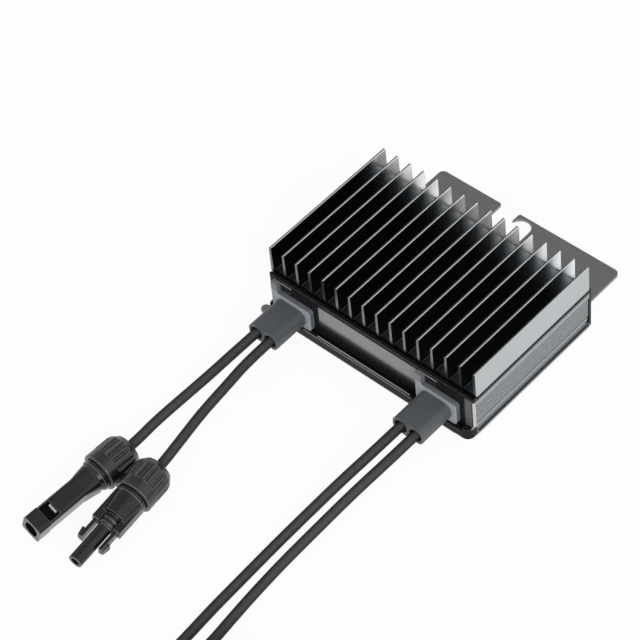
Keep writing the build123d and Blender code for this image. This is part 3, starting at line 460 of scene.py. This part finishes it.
# Which finish each CAD node takes, by the record's material slot
slotFinish = {
    "anodised_aluminium": "anodisedAluminium",
    "bracket_steel": "bracketSteel",
    "housing_plastic": "housingPlastic",
    "label_film": "labelFilm",
    "gland_rubber": "glandRubber",
    "gasket_rubber": "sealRubber",
    "cable_jacket": "cableJacket",
    "connector_plastic": "connectorPlastic",
    "nut_plastic": "nutPlastic",
    "contact_metal": "contactMetal",
    "screw_steel": "screwSteel",
    "board_laminate": "boardMask",
    "chip_plastic": "chipPlastic",
    "pad_silicone": "padSilicone",
    "ferrite": "ferriteCore",
    "copper_wire": "copperWire",
    "capacitor_case": "capacitorCase",
    "terminal_plastic": "terminalPlastic",
}
for subpart in frame["record"]["subparts"]:
    piece = frame["nodes"][subpart["node"]]
    piece.data.materials.clear()
    piece.data.materials.append(materials[slotFinish[subpart["material_slot"]]])
print("finishes on the CAD nodes")

# Leads: the same route points as in the CAD model, in millimetres and degrees
cable = {"diameter": 5.1, "sides": 4, "steps": 8, "stiffness": "medium"}
mouth = {  # where the cables leave the glands
    "inputX": -48.1, "outputX": 44.0, "spacing": 8.9, "front": -65.35, "height": 13.2,
    "inputStraight": 17.6, "outputStraight": 20.0,
}
seat = {  # how a cable sits in its connector, and where that lies after a coil
    "entry": 3.0, "conductorEnd": 9.0, "height": 10.7, "dip": 1.9, "reach": 22.0, "straight": 7.0,
}
wound = {
    "pitch": 5.15, "low": 2.6, "top": 12.6, "turns": 4, "steps": 24, "margin": 0.1, "clear": 0.3,
    # between which degrees of each turn the cable moves to its next place in the bundle
    "moves": ((300, 350), (240, 290), (180, 230), (120, 170)),
}
connectorParts = ("body", "contact", "nut", "rings", "seal")
# turn and dip are the way a connector points; on and off are where the cable joins and leaves its coil
leads = {
    "input_a": {
        "length": 0.099, "place": (-53.4, -155.5, 10.7), "turn": -3.1, "dip": 1.9,
        "route": [(-52.3, -103.0, 13.2), (-52.9, -121.5, 12.8), (-53.6, -137.0, 12.0)],
    },
    "input_b": {
        "length": 0.1, "place": (-34.0, -155.4, 10.75), "turn": 5.6, "dip": 2.2,
        "route": [(-41.2, -102.0, 13.2), (-39.4, -120.0, 12.8), (-36.6, -137.0, 12.0)],
    },
    "output_a": {
        "length": 0.975,
        "coil": {
            "centre": (8.95, -293.0), "radius": 25.5, "on": 0, "off": -90, "sense": -1, "aside": 0.8,
        },
        "route": [
            (37.6, -106.0, 10.5), (35.6, -128.5, 6.4), (34.5, -151.0, 3.6), (34.9, -175.0, 2.65),
            (35.5, -193.0, 2.6), (36.9, -212.5, 2.6), (37.7, -234.0, 2.6), (37.4, -252.0, 2.6),
            (37.0, -264.0, 2.6),
        ],
    },
    "output_b": {
        "length": 0.918,
        "coil": {
            "centre": (77.0, -232.0), "radius": 27.0, "on": 180, "off": 200, "sense": 1, "aside": -0.8,
        },
        "route": [
            (46.4, -109.0, 10.3), (44.6, -132.5, 6.1), (43.7, -156.0, 3.4), (44.7, -178.0, 2.65),
            (46.2, -194.0, 2.6), (47.45, -206.0, 2.6),
        ],
    },
}


def mouthRun(side, end):
    # straight out of the gland, lead a on the left
    x = mouth[side + "X"] + (-1 if end == "a" else 1) * mouth["spacing"] / 2
    front, height = mouth["front"], mouth["height"]
    return [(x, front, height), (x, front - mouth[side + "Straight"], height)]


def heading(turn, dip):
    # the way a connector points: degrees from -Y towards +X, and below the level
    a, d = radians(turn), radians(dip)
    return Vector((sin(a) * cos(d), -cos(a) * cos(d), -sin(d)))


def coilRun(coil, angle):
    # the way the cable runs at an angle of the coil
    a = radians(angle)
    return Vector((-sin(a), cos(a), 0)) * coil["sense"]


def tangent(coil, angle, distance, height):
    # a point on the tangent to the coil's outer turn, this far along the way the cable runs
    a = radians(angle)
    turnRadius = coil["radius"] + cable["diameter"] / 2
    foot = Vector((*coil["centre"], height)) + Vector((cos(a), sin(a), 0)) * turnRadius
    return foot + coilRun(coil, angle) * distance


def bundlePlace(places, angle):
    # the cable eases from each place in the bundle to the next, one move in each turn
    turn, within = divmod(angle, 360)
    if turn >= len(wound["moves"]):
        return places[-1]
    start, end = wound["moves"][int(turn)]
    share = min(max((within - start) / (end - start), 0), 1)
    share = share * share * (3 - 2 * share)
    near, far = places[int(turn)], places[int(turn) + 1]
    return [low + (high - low) * share for low, high in zip(near, far)]


def turnsOf(coil):
    # places in the bundle as (sideways, upwards): outer low, inner low, inner and outer high, top
    pitch, low = wound["pitch"], wound["low"]
    half, high, top = pitch / 2, low + pitch, low + 2 * pitch
    places = [(half, low), (-half, low), (-half, high), (half, high), (half, top)]
    whole = 360 * wound["turns"] + (coil["off"] - coil["on"]) * coil["sense"]
    step = 360 / wound["steps"]
    # a spline of order 3 runs inside its control points, so they stand out by this share
    outward = 1 / (0.75 + 0.25 * cos(radians(step)))
    points = []
    for count in range(1, round(whole / step)):
        side, height = bundlePlace(places, count * step)
        a = radians(coil["on"] + coil["sense"] * count * step)
        radius = (coil["radius"] + side) * outward
        points.append((coil["centre"][0] + radius * cos(a), coil["centre"][1] + radius * sin(a), height))
    return points


def coilEnd(coil):
    # onto the coil, round it and off it, and then where the connector sits and points
    outer = coil["radius"] + cable["diameter"] + wound["margin"]
    stub = sqrt(outer**2 - coil["radius"] ** 2) + wound["clear"]
    low, top = wound["low"], wound["top"]
    run = coilRun(coil, coil["off"])
    leave = tangent(coil, coil["off"], stub, top)
    points = [tangent(coil, coil["on"], -stub, low), tangent(coil, coil["on"], 0, low), *turnsOf(coil)]
    points += [tangent(coil, coil["off"], 0, top), leave, leave + run * seat["straight"]]
    place = tangent(coil, coil["off"], stub + seat["reach"], seat["height"])
    place += Vector((-run.y, run.x, 0)) * coil["aside"]
    dip = radians(seat["dip"])
    return points, place, Vector((run.x * cos(dip), run.y * cos(dip), -sin(dip)))


def leadCurve(name, points):
    data = bpy.data.curves.new(name, "CURVE")
    data.dimensions = "3D"
    data.bevel_depth = cable["diameter"] / 2 * mm
    data.bevel_resolution = cable["sides"]
    data.use_fill_caps = True
    spline = data.splines.new("NURBS")
    spline.points.add(len(points) - 1)
    for point, place in zip(spline.points, points):
        point.co = (*(Vector(place) * mm), 1)
    spline.order_u = 3
    spline.use_endpoint_u = True
    spline.resolution_u = cable["steps"]
    data.materials.append(materials["cableJacket"])
    piece = bpy.data.objects.new(name, data)
    scene.collection.objects.link(piece)
    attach(piece, "root")
    return piece


# Latch windows of the sockets, in millimetres along and across the socket: a near-black floor block is
# painted shade in each window, and a pale raised step a painted highlight
latch = {
    # each block's half width, then from where to where away from the socket's middle, and along it
    "floor": (4.15, (4.35, 4.8), (47.95, 54.25)),
    "step": (2.5, (4.8, 5.9), (48.2, 49.3)),
    "materials": {"floor": "latchShadeFloor", "step": "latchHighlightStep"},
    "round": 0.12,
    "rolls": {"input_a": -23.0, "output_a": 15.0},
}


def addBlock(mesh, placed, low, high):
    made = bmesh.ops.create_cube(mesh, size=1.0)["verts"]
    for vert in made:
        local = [low[i] + (high[i] - low[i]) * (vert.co[i] + 0.5) for i in range(3)]
        vert.co = placed @ Vector(local)
    faces = list({face for vert in made for face in vert.link_faces})
    bmesh.ops.recalc_face_normals(mesh, faces=faces)
    return faces


def makeLatch(name, place, forward):
    # the near-black floor, painted shade, and the pale raised step, a painted highlight, inside each of
    # the two latch windows of a socket
    side = Vector((forward.y, -forward.x, 0)).normalized()
    side = Matrix.Rotation(radians(latch["rolls"][name]), 3, forward) @ side
    turned = Matrix((side, forward.cross(side), forward)).transposed().to_4x4()
    placed = Matrix.Scale(mm, 4) @ Matrix.Translation(place) @ turned
    mesh = bmesh.new()
    data = bpy.data.meshes.new(name + "_latch")
    for part, material in latch["materials"].items():
        data.materials.append(materials[material])
    for sign in (-1, 1):
        for slot, part in enumerate(latch["materials"]):
            half, away, (start, end) = latch[part]
            low, high = sorted(sign * distance for distance in away)
            for face in addBlock(mesh, placed, (-half, low, start), (half, high, end)):
                face.material_index = slot
    bmesh.ops.bevel(mesh, geom=list(mesh.edges), offset=latch["round"] * mm, segments=2, affect="EDGES")
    mesh.to_mesh(data)
    mesh.free()
    piece = bpy.data.objects.new(name + "_latch", data)
    scene.collection.objects.link(piece)
    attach(piece, "root")
    return [piece.name]


def makeLead(name, lead):
    side, end = name.split("_")
    nodes = [f"{side}_lead_{end}"]
    points = mouthRun(side, end) + lead["route"]
    if "coil" in lead:
        turns, place, forward = coilEnd(lead["coil"])
        points += turns
        nodes += [f"{side}_lead_{end}_end", f"{side}_coil_{end}"]
    else:
        place, forward = Vector(lead["place"]), heading(lead["turn"], lead["dip"])
    points += [place - forward * seat["entry"], place + forward * seat["conductorEnd"]]
    piece = leadCurve(nodes[0] + "_cable", points)
    onLead = [f"{name}_{part}" for part in connectorParts if f"{name}_{part}" in frame["nodes"]]
    if name in latch["rolls"]:
        onLead += makeLatch(name, place, forward)
    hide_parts(*nodes)


for name, lead in leads.items():
    makeLead(name, lead)
print("leads made:", len(leads))

# Floor and light
light = {
    "floorShade": 0.88, "floorRoughness": 0.9, "floorSize": 6.0,
    "floorGlow": 0.93,  # how much of the floor is plain white to the camera and in reflections
    "white": 1.0,  # what the camera sees as plain white
    "screenShade": 0.5, "screenEdge": 0.6, "screenCore": 0.86, "screenToward": (-0.42, 0.34, 0.84),
    "lampPower": 14.0, "lampSize": 1.2, "lampPlace": (1.2, -0.88, 0.72),
}


def floorMaterial():
    material, tree, shader = newMaterial("paleFloor")
    shader.inputs["Base Color"].default_value = (*[light["floorShade"]] * 3, 1)
    shader.inputs["Roughness"].default_value = light["floorRoughness"]
    shader.inputs["Specular IOR Level"].default_value = 0.0
    glow = addNode(tree, "ShaderNodeEmission", {"Color": (1, 1, 1, 1), "Strength": light["white"]})
    rays = addNode(tree, "ShaderNodeLightPath").outputs
    seen = rays["Is Camera Ray"]
    for ray in ("Is Glossy Ray", "Is Transmission Ray"):
        seen = addMath(tree, "MAXIMUM", seen, rays[ray])
    share = addMath(tree, "MULTIPLY", seen, light["floorGlow"])
    mix = addNode(tree, "ShaderNodeMixShader", {"Fac": share, 1: shader.outputs[0], 2: glow.outputs[0]})
    tree.links.new(mix.outputs[0], tree.nodes["Material Output"].inputs["Surface"])
    return material


def makeFloor():
    half = light["floorSize"] / 2
    corners = [(-half, -half, 0), (half, -half, 0), (half, half, 0), (-half, half, 0)]
    data = bpy.data.meshes.new("floor")
    data.from_pydata(corners, [], [(0, 1, 2, 3)])
    data.materials.append(floorMaterial())
    floor = bpy.data.objects.new("floor", data)
    scene.collection.objects.link(floor)


def makeWorld():
    # white all round, with a dark screen over the far left that the fins mirror
    world = bpy.data.worlds.new("studio")
    world.use_nodes = True
    tree = world.node_tree
    place = addNode(tree, "ShaderNodeTexCoord").outputs["Generated"]
    toward = addVectorMath(tree, "DOT_PRODUCT", place, light["screenToward"])
    fade = addNode(tree, "ShaderNodeMapRange", {
        "Value": toward, "From Min": light["screenEdge"], "From Max": light["screenCore"],
        "To Min": light["white"], "To Max": light["screenShade"],
    }, interpolation_type="SMOOTHSTEP")
    background = tree.nodes["Background"]
    background.inputs["Color"].default_value = (1, 1, 1, 1)
    tree.links.new(fade.outputs["Result"], background.inputs["Strength"])
    scene.world = world


def makeLamp():
    data = bpy.data.lights.new("softbox", "AREA")
    data.size = light["lampSize"]
    data.energy = light["lampPower"]
    lamp = bpy.data.objects.new("softbox", data)
    scene.collection.objects.link(lamp)
    lamp.location = light["lampPlace"]
    lamp.rotation_euler = (-Vector(light["lampPlace"])).to_track_quat("-Z", "Y").to_euler()


makeFloor()
makeWorld()
makeLamp()
scene.view_settings.view_transform = "Standard"
print("floor and light made")
